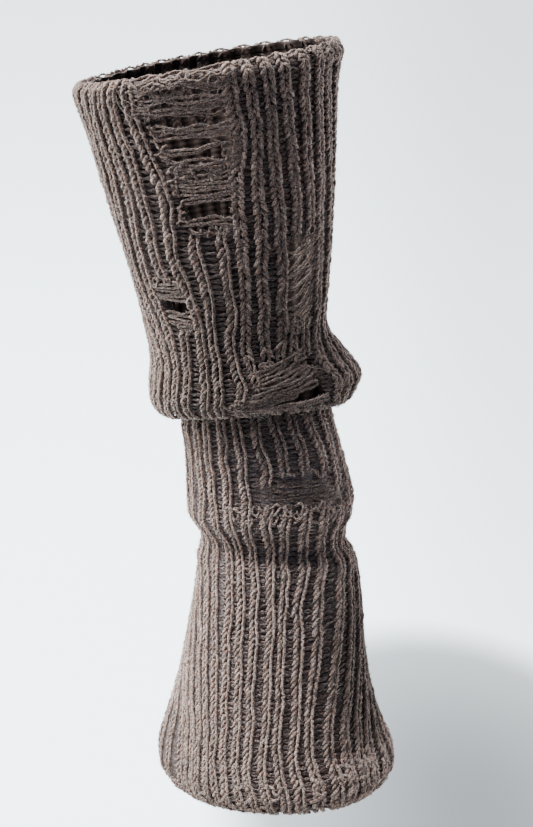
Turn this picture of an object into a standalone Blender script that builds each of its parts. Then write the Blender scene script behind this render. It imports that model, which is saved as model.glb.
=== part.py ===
"""A worn, holey footless sock: one knitted tube of 1x1 rib, slouched over a groove, with a rolled hem.

The wall is one loft through sections. Each section is a closed ring through four points of the
outer outline: left, right, front and back. The ribs are raised outside over a plain inside. The
wall is cut through at the rips, so it is two solids, which meet in the hidden turn of the slouch.
Lengths below are millimetres, angles are degrees. Bearing 0 is the front (-Y), 90 is +X.
The origin is the middle of the groove, where the tube is held.
"""

import math
from collections import namedtuple

import bmesh
import bpy
from mathutils import Matrix, Vector

MM = 0.001

# Driving sizes
RIBS = 36
WALL = 1.7
RIB_RISE = 1.3
RIB_CREST_SHARE = 0.44
SEAM_GAP = 0.3
UPPER_ROWS = (3, 11)
SLOUCH_TURN_ROW = 15
SLOPE_STEP = 0.02
SHARP_ANGLE = 40

# A row is a section along the cloth, from the top edge to the lip of the hem. Its ribs lie at
# equal steps, moved by spread * sin(step - spread_at) and by turn. Steps is the number of rings
# from this row to the next.
Section = namedtuple(
    "Section",
    "left_x left_z right_x right_z front_y front_z back_y back_z spread spread_at turn steps",
)
SECTIONS = [
    # Top edge, rolled a little
    Section(-79.2, 189.0, 26.0, 206.5, -63.5, 191.0, 41.5, 206.0, 8, 45, 3, 1),
    Section(-81.2, 185.0, 28.5, 201.5, -66.0, 187.0, 44.0, 201.5, 8, 45, 3, 1),
    Section(-79.8, 179.5, 27.2, 195.5, -64.7, 181.0, 43.2, 195.5, 8, 45, 3, 1),
    # Upper part
    Section(-76.4, 169.5, 26.1, 184.0, -62.0, 169.0, 43.0, 184.0, 8, 45, 3, 2),
    Section(-69.4, 145.0, 25.6, 158.0, -57.5, 144.0, 41.5, 158.0, 10, 30, 0, 2),
    Section(-61.6, 120.0, 24.7, 131.0, -53.5, 119.0, 38.0, 131.0, 14, 0, -3, 2),
    Section(-56.1, 100.0, 23.4, 108.0, -50.5, 99.0, 34.5, 108.0, 12, 0, -3, 1),
    Section(-53.1, 86.0, 22.8, 91.0, -49.0, 86.0, 32.5, 92.0, 8, 20, -3, 1),
    # Slouch: it swells, turns under and goes up again behind itself
    Section(-52.0, 77.0, 30.0, 81.0, -49.5, 77.0, 34.0, 81.0, 5, 40, -2, 1),
    Section(-52.7, 68.0, 37.0, 71.5, -51.0, 69.0, 36.5, 71.0, 5, 40, -2, 1),
    Section(-52.3, 59.5, 35.2, 64.0, -51.0, 62.5, 36.0, 63.0, 6, 40, -2, 1),
    Section(-49.2, 54.0, 31.8, 59.0, -48.5, 58.3, 33.0, 57.5, 8, 35, -1, 1),
    Section(-45.0, 52.2, 28.2, 57.2, -45.0, 57.0, 30.0, 55.8, 12, 30, 0, 1),
    Section(-41.6, 54.8, 26.4, 59.8, -42.4, 59.8, 28.2, 58.4, 18, 20, 2, 1),
    Section(-40.0, 61.0, 25.6, 66.0, -41.2, 66.2, 27.6, 64.4, 24, 15, 3, 1),
    Section(-39.2, 62.4, 24.9, 67.4, -40.4, 67.6, 26.9, 65.8, 26, 10, 4, 1),
    Section(-38.4, 61.0, 24.2, 66.0, -39.6, 66.2, 26.2, 64.4, 28, 10, 4, 1),
    # Under the slouch, with a puff that hangs over the groove
    Section(-39.4, 49.0, 24.9, 54.5, -40.6, 54.0, 27.8, 52.5, 34, 10, 5, 1),
    Section(-38.3, 39.0, 27.6, 44.0, -40.3, 43.0, 30.0, 42.0, 34, 10, 5, 1),
    Section(-37.7, 28.0, 31.6, 30.0, -40.0, 30.0, 33.5, 30.0, 34, 10, 5, 1),
    Section(-37.5, 17.5, 34.7, 18.0, -42.2, 18.5, 37.0, 18.0, 34, 12, 6, 1),
    Section(-36.9, 9.5, 34.3, 9.5, -43.0, 10.0, 38.0, 9.5, 33, 15, 7, 1),
    Section(-34.2, 4.8, 32.3, 4.9, -40.2, 5.0, 36.2, 5.0, 31, 20, 9, 1),
    # Groove
    Section(-31.8, 0.6, 31.6, 0.6, -37.2, 0.6, 34.6, 0.6, 30, 25, 10, 1),
    Section(-31.9, -3.8, 32.2, -3.6, -37.6, -3.8, 34.8, -3.6, 29, 30, 11, 1),
    # Lower part, drawn forward and flared
    Section(-33.3, -8.5, 35.5, -8.5, -41.0, -8.5, 37.6, -8.5, 28, 35, 12, 1),
    Section(-33.6, -15.5, 37.3, -15.5, -44.0, -16.0, 39.4, -15.0, 27, 45, 14, 1),
    Section(-35.6, -30.0, 38.9, -30.0, -49.5, -31.5, 40.5, -28.5, 24, 60, 15, 1),
    Section(-38.7, -47.0, 40.1, -47.0, -55.5, -49.0, 41.0, -45.0, 22, 75, 16, 1),
    Section(-42.6, -64.0, 42.8, -64.0, -61.5, -66.0, 40.0, -62.0, 22, 90, 16, 1),
    Section(-47.2, -78.0, 46.8, -78.0, -67.3, -79.0, 38.0, -76.0, 22, 110, 16, 1),
    # Rolled hem
    Section(-49.8, -87.0, 51.2, -87.5, -71.5, -87.0, 37.5, -85.5, 22, 115, 16, 1),
    Section(-49.4, -93.5, 52.0, -94.5, -73.0, -92.5, 37.7, -91.5, 22, 115, 16, 1),
    Section(-46.6, -98.6, 49.2, -100.0, -71.5, -97.0, 35.5, -96.5, 22, 115, 16, 1),
    Section(-42.2, -101.0, 44.8, -102.4, -67.5, -99.5, 31.5, -98.9, 22, 115, 16, 1),
    Section(-38.4, -99.0, 41.0, -100.4, -63.7, -97.5, 27.7, -96.9, 22, 115, 16, 1),
]

# Soft dents in the whole cloth, and puffs where the depth is negative: the middle, and how far it
# reaches up and down and, in degrees, round the tube.
Dent = namedtuple("Dent", "height bearing tall wide depth")
DENTS = [
    # Taut ladders sink in
    Dent(164, -4, 16, 22, 2.2),
    Dent(134, -2, 11, 16, 1.6),
    Dent(101, -36, 12, 14, 1.8),
    Dent(112, 46, 14, 12, 1.6),
    # The slouch sinks where its edge is torn, and puffs beside it
    Dent(70, 30, 11, 18, 3.6),
    Dent(70, -25, 12, 22, -1.2),
    # Flattened ladder above the groove
    Dent(19, 24, 7, 26, 1.8),
    # Shallow creases at the back
    Dent(92, 150, 7, 30, 1.8),
    Dent(36, 205, 7, 35, 1.6),
    Dent(-40, 170, 10, 30, 1.6),
]

# Gaps in the rips and ladders, cut through the wall: where the middle lies, the width round the
# tube, the height, and the slant (up to the right).
Rip = namedtuple("Rip", "height bearing width gap slant")
RIPS = [
    # Large hole under the top edge
    Rip(173.5, -4, 22.0, 6.5, 3),
    Rip(162.0, -15, 11.5, 4.4, -4),
    Rip(159.0, 5, 8.5, 6.0, 4),
    # Ladder under it
    Rip(138.0, -6, 18.0, 4.6, 4),
    Rip(132.3, 0, 15.5, 4.6, 4),
    # Slit on the left
    Rip(100.0, -34, 12.0, 4.2, -4),
    # Ladder on the right
    Rip(113.0, 46, 12.0, 4.2, 38),
    # Gap at the edge of the slouch
    Rip(66.0, 30, 15.0, 4.4, 12),
]
RIP_REACH = 4.2
RIP_SIDES = 12


def mixed(t):
    """The section at t rows from the top edge, on a smooth curve through the rows."""
    last = len(SECTIONS) - 1
    row = min(int(t), last - 1)
    before, start, end, after = (
        SECTIONS[max(0, min(last, row + step))] for step in (-1, 0, 1, 2)
    )
    f = t - row
    weights = (
        (-f + 2 * f * f - f**3) / 2,
        (2 - 5 * f * f + 3 * f**3) / 2,
        (f + 4 * f * f - 3 * f**3) / 2,
        (f**3 - f * f) / 2,
    )
    values = zip(before, start, end, after)
    return Section(*(sum(w * v for w, v in zip(weights, column)) for column in values))


def dent_at(height, bearing):
    """How far the dents push the cloth in."""
    depth = 0.0
    for dent in DENTS:
        away = (bearing - dent.bearing + 180) % 360 - 180
        reach = ((height - dent.height) / dent.tall) ** 2 + (away / dent.wide) ** 2
        depth += dent.depth * math.exp(-reach)
    return depth


def outline(t, bearing):
    """The point of the outer outline at t, at a bearing."""
    s = mixed(t)
    side, ahead = math.sin(math.radians(bearing)), math.cos(math.radians(bearing))
    bow = (s.front_z + s.back_z - s.left_z - s.right_z) / 4
    x = (s.left_x + s.right_x) / 2 + side * (s.right_x - s.left_x) / 2
    y = (s.front_y + s.back_y) / 2 + ahead * (s.front_y - s.back_y) / 2
    z = (s.left_z + s.right_z + s.front_z + s.back_z) / 4 + bow * (ahead**2 - side**2)
    z += side * (s.right_z - s.left_z) / 2 + ahead * (s.front_z - s.back_z) / 2
    depth = dent_at(z, bearing)
    return Vector((x - side * depth, y + ahead * depth, z))


def downward(t, bearing):
    """The direction along the cloth, towards the hem."""
    last = len(SECTIONS) - 1
    ahead = outline(min(t + SLOPE_STEP, last), bearing)
    return (ahead - outline(max(t - SLOPE_STEP, 0), bearing)).normalized()


def outward(t, bearing):
    """The direction out of the cloth's ribbed side."""
    around = outline(t, bearing + 0.5) - outline(t, bearing - 0.5)
    return downward(t, bearing).cross(around).normalized()


def bearing_of(t, rib):
    """Where a rib, or a place between two, lies on the section at t."""
    s = mixed(t)
    step = rib * 360 / RIBS
    return s.turn + step + s.spread * math.sin(math.radians(step - s.spread_at))


def wall_point(t, place, depth, shift):
    """A point of the wall: a depth under the outline, and moved along the cloth by a shift."""
    bearing = bearing_of(t, place)
    point = outline(t, bearing) - depth * outward(t, bearing)
    if shift:
        point += shift * downward(t, bearing)
    return point


def ring(t, shift):
    """One ring of the wall: the ribbed outside and the plain inside."""
    outside, inside = [], []
    for rib in range(RIBS):
        outside.append(wall_point(t, rib - RIB_CREST_SHARE / 2, 0.0, shift))
        outside.append(wall_point(t, rib + RIB_CREST_SHARE / 2, 0.0, shift))
        outside.append(wall_point(t, rib + 0.5, RIB_RISE, shift))
        inside.append(wall_point(t, rib, WALL + RIB_RISE, shift))
    return outside, inside


def rows_between(first, last):
    """The places of the rings from one row of SECTIONS to another."""
    places = []
    for row in range(first, last):
        steps = SECTIONS[row].steps
        places += [row + i / steps for i in range(steps)]
    return places + [last]


def skin(bm, rings):
    """Quads between the rings, one after another. Gives the first and last ring's edges."""
    rows = [[bm.verts.new(p * MM) for p in points] for points in rings]
    count = len(rows[0])
    for upper, lower in zip(rows, rows[1:]):
        for i in range(count):
            j = (i + 1) % count
            bm.faces.new((upper[i], lower[i], lower[j], upper[j]))
    ends = []
    for row in (rows[0], rows[-1]):
        ends.append([bm.edges.get((row[i], row[(i + 1) % count])) for i in range(count)])
    return ends


def tube(name, places, shifts):
    """A closed wall through rings at the given places."""
    rings = [ring(t, shift) for t, shift in zip(places, shifts)]
    bm = bmesh.new()
    outside_ends = skin(bm, [outside for outside, _ in rings])
    inside_ends = skin(bm, [inside for _, inside in rings])
    for outer_loop, inner_loop in zip(outside_ends, inside_ends):
        bmesh.ops.bridge_loops(bm, edges=outer_loop + inner_loop)
    bmesh.ops.triangulate(bm, faces=bm.faces)
    bmesh.ops.recalc_face_normals(bm, faces=bm.faces)
    mesh = bpy.data.meshes.new(name)
    bm.to_mesh(mesh)
    bm.free()
    mesh.shade_smooth()
    mesh.set_sharp_from_angle(angle=math.radians(SHARP_ANGLE))
    return bpy.data.objects.new(name, mesh)


def place_at(height, bearing):
    """The t above the slouch where the outline at a bearing is at a height."""
    low, high = UPPER_ROWS
    for _ in range(30):
        middle = (low + high) / 2
        if outline(middle, bearing).z > height:
            low = middle
        else:
            high = middle
    return low


def rip_cutter(rip, number):
    """A flat oval prism through the wall."""
    t = place_at(rip.height, rip.bearing)
    out = outward(t, rip.bearing)
    middle = outline(t, rip.bearing) - out * (WALL + RIB_RISE) / 2
    turn = Matrix.Rotation(math.radians(rip.slant), 4, out)
    across = turn @ Vector((0, 0, 1)).cross(out).normalized()
    up = out.cross(across)
    frame = Matrix((across * rip.width, up * rip.gap, out * 2 * RIP_REACH)).transposed()
    bm = bmesh.new()
    bmesh.ops.create_cone(
        bm, cap_ends=True, segments=RIP_SIDES, radius1=0.5, radius2=0.5, depth=1.0
    )
    matrix = Matrix.Translation(middle * MM) @ (frame * MM).to_4x4()
    bmesh.ops.transform(bm, matrix=matrix, verts=bm.verts)
    mesh = bpy.data.meshes.new(f"rip_{number}")
    bm.to_mesh(mesh)
    bm.free()
    cutter = bpy.data.objects.new(f"rip_{number}", mesh)
    cutter.hide_render = True
    cutter.display_type = "WIRE"
    return cutter


def wool(name, color):
    """Heather wool, dull."""
    material = bpy.data.materials.new(name)
    material.use_nodes = True
    shader = material.node_tree.nodes["Principled BSDF"]
    shader.inputs["Base Color"].default_value = (*color, 1.0)
    shader.inputs["Roughness"].default_value = 0.95
    shader.inputs["Metallic"].default_value = 0.0
    return material


def main():
    for old in list(bpy.data.objects):
        bpy.data.objects.remove(old, do_unlink=True)
    parts = bpy.data.collections.new("holey_footless_sock")
    cutters = bpy.data.collections.new("cutters")
    for collection in (parts, cutters):
        bpy.context.scene.collection.children.link(collection)

    last = len(SECTIONS) - 1
    upper_places = rows_between(0, SLOUCH_TURN_ROW)
    lower_places = rows_between(SLOUCH_TURN_ROW, last)
    upper_shifts = [0.0] * (len(upper_places) - 1) + [-SEAM_GAP / 2]
    lower_shifts = [SEAM_GAP / 2] + [0.0] * (len(lower_places) - 1)
    upper = tube("sock_upper", upper_places, upper_shifts)
    lower = tube("sock_lower", lower_places, lower_shifts)
    upper.data.materials.append(wool("upper_wool", (0.105, 0.072, 0.054)))
    lower.data.materials.append(wool("lower_wool", (0.120, 0.084, 0.063)))
    parts.objects.link(upper)
    parts.objects.link(lower)

    for number, rip in enumerate(RIPS, 1):
        cutter = rip_cutter(rip, number)
        cutters.objects.link(cutter)
        cut = upper.modifiers.new(f"rip {number}", "BOOLEAN")
        cut.operation = "DIFFERENCE"
        cut.object = cutter


main()
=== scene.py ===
"""A worn, holey footless sock of brown heather wool, knitted in 1x1 rib, with its yarns modelled.

The cloth is laid out in courses (rows of stitches, counted from the top edge) and wales (columns
of stitches, 0 in the middle of the front, positive to the right). cloth() turns a place in the
knit into a point. Lengths are millimetres until a mesh is made. Bearing 0 is the front (-Y), 90
is +X.
"""

import math
from collections import namedtuple

import bpy
import numpy as np
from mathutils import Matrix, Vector


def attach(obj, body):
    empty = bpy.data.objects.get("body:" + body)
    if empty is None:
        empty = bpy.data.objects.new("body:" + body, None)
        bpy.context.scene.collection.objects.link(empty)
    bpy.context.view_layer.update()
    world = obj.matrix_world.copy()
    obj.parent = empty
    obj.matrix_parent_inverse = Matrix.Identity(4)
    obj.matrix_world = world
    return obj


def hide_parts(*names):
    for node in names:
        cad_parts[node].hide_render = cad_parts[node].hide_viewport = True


MM = 0.001
RIBS = 36
HALF_RIBS = RIBS // 2
ALL_WALES = range(-HALF_RIBS, HALF_RIBS)

# The form of the tube: a row is a section along the cloth, through four points of its outline.
Section = namedtuple("Section", "left_x left_z right_x right_z front_y front_z back_y back_z")
SECTIONS = [
    # Top edge, rolled a little
    (-79.2, 189, 26, 206.5, -63.5, 191, 41.5, 206),
    (-81.2, 185, 28.5, 201.5, -66, 187, 44, 201.5),
    (-79.8, 179.5, 27.2, 195.5, -64.7, 181, 43.2, 195.5),
    # Upper part
    (-76.4, 169.5, 26.1, 184, -62, 169, 43, 184),
    (-69.4, 145, 25.6, 158, -57.5, 144, 41.5, 158),
    (-61.6, 120, 24.7, 131, -53.5, 119, 38, 131),
    (-56.1, 100, 23.4, 108, -50.5, 99, 34.5, 108),
    (-53.1, 86, 22.8, 91, -49, 86, 32.5, 92),
    # Slouch: it swells, turns under and goes up again behind itself
    (-52, 77, 30, 81, -49.5, 77, 34, 81),
    (-52.7, 68, 37, 71.5, -51, 69, 36.5, 71),
    (-52.3, 59.5, 35.2, 64, -51, 62.5, 36, 63),
    (-49.2, 54, 31.8, 59, -48.5, 58.3, 33, 57.5),
    (-45, 52.2, 28.2, 57.2, -45, 57, 30, 55.8),
    (-41.6, 54.8, 26.4, 59.8, -42.4, 59.8, 28.2, 58.4),
    (-40, 61, 25.6, 66, -41.2, 66.2, 27.6, 64.4),
    (-39.2, 62.4, 24.9, 67.4, -40.4, 67.6, 26.9, 65.8),
    (-38.4, 61, 24.2, 66, -39.6, 66.2, 26.2, 64.4),
    # Under the slouch, with a puff that hangs over the groove
    (-39.4, 49, 24.9, 54.5, -40.6, 54, 27.8, 52.5),
    (-38.3, 39, 27.6, 44, -40.3, 43, 30, 42),
    (-37.7, 28, 31.6, 30, -40, 30, 33.5, 30),
    (-37.5, 17.5, 34.7, 18, -42.2, 18.5, 37, 18),
    (-36.9, 9.5, 34.3, 9.5, -43, 10, 38, 9.5),
    (-34.2, 4.8, 32.3, 4.9, -40.2, 5, 36.2, 5),
    # Groove
    (-31.8, 0.6, 31.6, 0.6, -37.2, 0.6, 34.6, 0.6),
    (-31.9, -3.8, 32.2, -3.6, -37.6, -3.8, 34.8, -3.6),
    # Lower part, drawn forward and flared
    (-33.3, -8.5, 35.5, -8.5, -41, -8.5, 37.6, -8.5),
    (-33.6, -15.5, 37.3, -15.5, -44, -16, 39.4, -15),
    (-35.6, -30, 38.9, -30, -49.5, -31.5, 40.5, -28.5),
    (-38.7, -47, 40.1, -47, -55.5, -49, 41, -45),
    (-42.6, -64, 42.8, -64, -61.5, -66, 40, -62),
    (-47.2, -78, 46.8, -78, -67.3, -79, 38, -76),
    # Rolled hem
    (-49.8, -87, 51.2, -87.5, -71.5, -87, 37.5, -85.5),
    (-49.4, -93.5, 52, -94.5, -73, -92.5, 37.7, -91.5),
    (-46.6, -98.6, 49.2, -100, -71.5, -97, 35.5, -96.5),
    (-42.2, -101, 44.8, -102.4, -67.5, -99.5, 31.5, -98.9),
    (-38.4, -99, 41, -100.4, -63.7, -97.5, 27.7, -96.9),
]

# Soft dents, and puffs where the depth is negative
Dent = namedtuple("Dent", "height bearing tall wide depth")
DENTS = [
    # Taut ladders sink in
    Dent(164, -4, 16, 22, 2.2),
    Dent(134, -2, 11, 16, 1.6),
    Dent(101, -36, 12, 14, 1.8),
    Dent(112, 46, 14, 12, 1.6),
    # The slouch sinks where its edge is torn, and puffs beside it
    Dent(70, 30, 11, 18, 3.6),
    Dent(70, -25, 12, 22, -1.2),
    # Flattened ladder above the groove
    Dent(19, 24, 7, 26, 1.8),
    # Shallow creases at the back
    Dent(92, 150, 7, 30, 1.8),
    Dent(36, 205, 7, 35, 1.6),
    Dent(-40, 170, 10, 30, 1.6),
]

# The bearings of these wales at a row of SECTIONS, whose number stands first. The other wales
# share what is left between them. The last wale is the first one again, once round.
WALE_NUMBERS = [-9, -6, -5, -4, -3, -2, -1, 0, 1, 2, 3, 4, 5, 6, 7, 17, 27]
WALES = [
    (0.5, -88, -60, -52, -46, -39, -34, -20,
     -6, 10, 16, 24, 33, 42, 52, 62, 180),
    (2.6, -92, -63, -56, -49.5, -41.5, -33, -18,
     -3, 12.2, 20, 28.4, 36.6, 46, 56.5, 66, 180),
    (3, -94, -64, -57, -49, -41, -32, -17,
     -2, 13.6, 21, 28.8, 37.1, 47.5, 57.5, 68, 180),
    (3.4, -96, -65, -56, -48, -39, -28, -14,
     0, 14.3, 20.6, 28.8, 37.6, 48, 59, 70, 180),
    (3.8, -98, -67, -57, -47, -37.9, -24.2, -13,
     -1, 10.8, 19.8, 29.5, 39.9, 50, 61, 72, 180),
    (4.2, -100, -69, -59, -48.5, -38.6, -26, -14,
     -2, 8.7, 20, 31.2, 41.4, 51.4, 62.5, 74, 180),
    (4.6, -103, -73, -62, -50.5, -39.7, -28.3, -13.5,
     -2, 8.6, 19.7, 32.3, 41.8, 51, 61.5, 75, 180),
    (5, -106, -76, -63, -51.4, -39.8, -28.3, -13,
     -1, 7.9, 18.8, 31.4, 40.1, 50.5, 61.5, 76, 180),
    (5.4, -105, -77, -64, -52, -38.5, -25.7, -12.2,
     0, 7.8, 18.7, 32.9, 40.8, 51.5, 62, 77, 180),
    (6, -100, -72, -60, -50, -34.5, -21, -12.2,
     1, 7.7, 18.5, 31, 42, 50, 63, 76, 180),
    (6.6, -95, -66, -55, -45, -32.6, -20, -13.3,
     0, 7.3, 17.9, 31, 41.5, 48, 63, 75, 180),
    (7, -90, -61, -52, -43, -32.5, -20.3, -14,
     -1.4, 6.9, 17.9, 31, 40, 47.5, 61.5, 74, 180),
    (8, -86, -58.5, -51, -42.5, -33.5, -24, -16.5,
     -5.8, 3, 11.5, 21.5, 30.5, 39, 50, 61, 180),
    (10, -88, -62, -53, -45, -36, -25.5, -17,
     -7.5, 2.2, 11, 22, 32, 42, 53, 62, 180),
    (18.2, -122, -85, -68, -52, -41.5, -28, -14.5,
     0.5, 15.4, 31, 48.5, 64, 80, 95, 110, 182),
    (20.5, -120, -84, -68, -54, -41.6, -28.5, -16.7,
     -3, 11.2, 26, 42, 57.5, 74, 92, 107, 182),
    (24.5, -112, -76, -62, -49, -37.5, -25.5, -14.5,
     -1.4, 7, 22, 39.5, 57.5, 70.5, 86, 101, 182),
    (26, -108, -72, -59, -49, -36.3, -26.2, -15.6,
     -4.4, 3, 15.5, 30, 50, 64, 78, 93, 181),
    (27.5, -88, -60, -51.8, -43.7, -33.6, -23.9, -14.6,
     -4.4, 1.5, 13.1, 25.5, 43, 56.6, 70, 84, 180),
    (28.5, -73, -52.5, -45.5, -37.8, -29.5, -21.6, -13.2,
     -5, 2.4, 13.4, 21.5, 35.5, 49.8, 61, 74, 180),
    (29.5, -58, -43.5, -38, -33, -27.5, -20.8, -13,
     -5.3, 2, 12, 19.2, 30, 42.2, 52, 63, 180),
    (30.5, -52, -40, -35.2, -30.5, -24, -18.9, -12.5,
     -5.2, 2.1, 11.5, 19.8, 30.3, 39.7, 46.5, 56, 180),
    (32.5, -50, -39, -34, -29, -23, -17, -11,
     -4, 3, 11, 20, 30, 38, 45, 53, 180),
    (34.2, -44, -32, -27, -22, -16, -11, -6,
     0, 6, 13, 22, 31, 39, 45.5, 53, 181),
]

# Height of a course by row: the stitches are shorter where the cloth is stretched round.
COURSE_ROWS = [0, 15, 17, 24, 26, 35]
COURSE_HEIGHTS = [2.45, 2.35, 2.05, 2.05, 2.4, 2.4]

# The radius of each yarn of a stitch, how thick the legs are by course (thinner where the cloth
# is drawn down), and how far they lie from the middle of the rib
LEFT_LEG = 0.82
RIGHT_LEG = 0.80
PURL_BAR = 0.54
LEG_COURSES = [0, 26, 36, 60, 150]
LEG_SHARES = [1.0, 1.0, 0.90, 0.80, 0.82]
LEG_APART = 1.0
# A fibre goes once round its yarn in this length.
FIBRE_TWIST = 8.0
# The ground sheet: how deep it lies by course, its thickness, and its rows and steps to a rib
GROUND_COURSES = [0, 62, 82, 152]
GROUND_UNDER_RIB = [2.3, 2.3, 1.75, 1.75]
GROUND_IN_CHANNEL = [3.1, 3.1, 2.9, 2.7]
GROUND_THICKNESS = 0.35
GROUND_ROWS = 125
GROUND_STEPS = 4
# Painted light and shade: how pale the wool is drawn by height, and how pale slack loops are drawn
# by course
PAINTED_LIGHT_HEIGHTS = [-20, 20, 40, 52, 62, 88, 110, 140]
PAINTED_LIGHT_SHARES = [1.10, 1.33, 1.42, 0.80, 0.60, 0.62, 0.77, 0.96]
LOOP_COURSES = [1, 4, 20, 138, 143]
LOOP_PAINTED_LIGHT = [0.7, 0.72, 0.9, 0.95, 1.15]
RUST = (1.0, 0.85, 0.79)
# Stitches stay this far from the edges, in courses. Those of the slouch that are folded away are
# left out, and right legs are separate strokes as far as the slouch.
EDGE = 0.02
FOLDED_AWAY = (65, 74)
STROKE_COURSES = 62
# Wales nearer to the front than this have rounder yarns.
NEAR_WALES = 9.5
# The inside of the tube has stitches as far as it shows, and they sink into the ground there.
WALL_DEPTH = 4.2
SINK_FROM = 8
INNER_COURSES = 15

# Dropped stitches: where a ladder starts and ends, the wales it runs between at both ends, and
# whether it has opened.
Ladder = namedtuple("Ladder", "first last left_top right_top left_end right_end open")
LADDERS = [
    # Large hole under the top edge
    Ladder(1.2, 15.2, -1.42, 0.70, -1.42, 0.62, True),
    # Ladder under it
    Ladder(16.6, 25.6, -1.2, 0.66, -1.3, 0.66, True),
    # Slit on the left
    Ladder(34.6, 43.0, -3.6, -2.4, -3.5, -2.4, True),
    # Slanted ladder on the right
    Ladder(30.0, 43.0, 3.45, 5.5, 3.4, 5.4, True),
    # Tear at the edge of the slouch
    Ladder(50.5, 60.5, 1.5, 5.4, 0.5, 5.5, True),
    # Flattened ladder above the groove
    Ladder(87.0, 93.0, 0.3, 3.3, -0.5, 4.5, False),
]

# Strands across the ladders: the courses between which they lie on the left side, how many, the
# wales they run between, how many courses lower they end on the right, how much further apart they
# are there, how far they sag, how far they stray, their depth under the outline, and their tone.
Strands = namedtuple("Strands", "first last count left right drop fan sag stray depth tone")
STRANDS = [
    # Large hole: loose ones under the top edge
    Strands(1.2, 3.4, 5, -1.9, 1.0, 0.7, 0.2, 0.2, 0.8, 0.7, 0.85),
    # Dense ones
    Strands(4.4, 6.2, 4, -1.9, 1.05, 0.7, 0.0, 0.15, 0.25, 0.8, 1.0),
    Strands(6.5, 6.6, 1, -1.7, 1.05, 0.6, 0.0, 0.2, 0.3, 1.3, 0.75),
    # Below the first gap
    Strands(8.5, 9.0, 2, -1.4, 1.05, 0.7, 0.1, 0.1, 0.25, 0.8, 1.0),
    Strands(9.8, 10.4, 2, -1.6, 1.1, 0.7, 0.3, -0.2, 0.4, 1.0, 0.8),
    # Between the two small gaps
    Strands(12.4, 12.9, 2, -1.5, 1.0, -0.8, 0.0, 0.1, 0.3, 1.0, 0.85),
    Strands(13.9, 15.4, 4, -1.5, 1.1, 0.6, 0.0, 0.2, 0.4, 1.0, 0.75),
    # Second ladder
    Strands(16.5, 20.7, 8, -1.25, 1.05, 0.2, 0.2, 0.1, 0.15, 1.0, 0.8),
    Strands(23.5, 24.6, 3, -1.3, 1.05, 0.4, 0.2, 0.2, 0.4, 1.1, 0.75),
    Strands(25.6, 26.0, 1, -1.2, 1.0, 0.9, 0.0, 0.2, 0.3, 1.3, 0.85),
    # Left slit
    Strands(34.8, 37.4, 6, -3.9, -2.0, -0.1, 0.2, 0.2, 0.2, 0.9, 0.72),
    Strands(39.8, 42.4, 5, -3.7, -2.1, 0.1, 0.2, 0.2, 0.25, 1.0, 0.66),
    # Slanted ladder
    Strands(32.0, 44.8, 12, 3.1, 5.7, -3.4, 0.6, 0.9, 0.45, 1.0, 0.72),
    # Tear at the slouch
    Strands(52.8, 59.0, 9, 0.6, 4.9, -3.6, 0.8, 0.2, 0.2, 1.0, 0.85),
    Strands(59.0, 60.2, 3, 0.4, 3.4, -2.4, 0.2, 0.1, 0.25, 1.0, 0.9),
    Strands(60.4, 60.9, 3, 0.0, 5.4, -2.0, 0.0, 0.3, 0.25, 0.5, 1.12),
    # Flattened ladder
    # Their tone of 0.48 is painted shade under the puff
    Strands(87.3, 92.4, 12, -0.4, 4.4, 0.6, 0.3, 0.9, 0.4, 1.9, 0.48),
]

# Loops of slack yarn: where they bunch, how far the bunch reaches, how many, and their size
Loops = namedtuple("Loops", "course wale tall wide count size")
LOOPS = [
    # Under the top edge and along the large hole
    Loops(2.2, -0.6, 1.2, 0.8, 9, 1.9),
    Loops(2.6, 0.9, 1.2, 0.35, 6, 1.6),
    Loops(7.5, -1.45, 5.5, 0.12, 9, 1.2),
    Loops(13.4, 0.75, 1.8, 0.3, 9, 1.7),
    Loops(12.4, -1.3, 1.0, 0.15, 3, 1.7),
    Loops(15.8, -0.8, 0.9, 0.6, 9, 1.4),
    Loops(16.0, 0.4, 0.8, 0.5, 6, 1.5),
    # Round the second ladder
    Loops(20.5, -1.35, 3.5, 0.1, 8, 1.1),
    Loops(25.8, -0.3, 0.5, 0.8, 8, 1.3),
    # Round the slit and the slanted ladder
    Loops(34.0, -3.0, 0.7, 0.6, 6, 1.4),
    Loops(43.2, -2.9, 0.6, 0.6, 6, 1.3),
    Loops(39.0, -2.1, 2.5, 0.15, 5, 1.4),
    Loops(30.0, 4.6, 0.8, 0.7, 6, 1.5),
    Loops(44.0, 4.3, 0.8, 0.8, 7, 1.5),
    # Knot at the edge of the slouch
    Loops(59.6, 0.1, 1.2, 0.5, 10, 1.8),
    Loops(50.6, 3.0, 0.8, 1.3, 8, 1.4),
    # Puff over the groove
    Loops(94.5, 1.2, 1.3, 3.6, 34, 1.4),
    Loops(87.0, 1.8, 0.7, 1.4, 8, 0.8),
    # Right side of the rolled hem, and the corner of the top edge
    Loops(143.5, 5.4, 2.6, 2.6, 26, 1.5),
    Loops(145.0, 0.5, 2.0, 3.0, 8, 1.3),
    Loops(1.6, 7.4, 1.3, 0.8, 14, 1.8),
    Loops(0.8, -7.5, 0.6, 0.8, 5, 1.3),
    # All along the edges
    Loops(0.9, 0.0, 0.5, 18.0, 30, 1.1),
    Loops(148.5, 0.0, 1.5, 18.0, 40, 1.1),
]

# Long pale hairs at the upper left and over the tear: the course and wale of both ends, and how
# far they bow
HAIRS = [
    (2, -2.6, 5.8, -1.5, 0.3),
    (2.6, -2.6, 7.8, -1.55, -0.4),
    (5.8, -1.5, 7.8, -1.55, 0.4),
    (8.4, -3.2, 9.4, -2.6, 0.5),
    (9.4, -3.1, 10.4, -2.4, 0.6),
    (11.2, -4, 13, -2.6, -0.5),
    (16, -3.4, 19.5, -2.6, 0.5),
    (58.6, 0.4, 55.4, 0.9, 1),
    (57.6, 0.9, 55.6, 0.3, -1.2),
]

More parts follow.
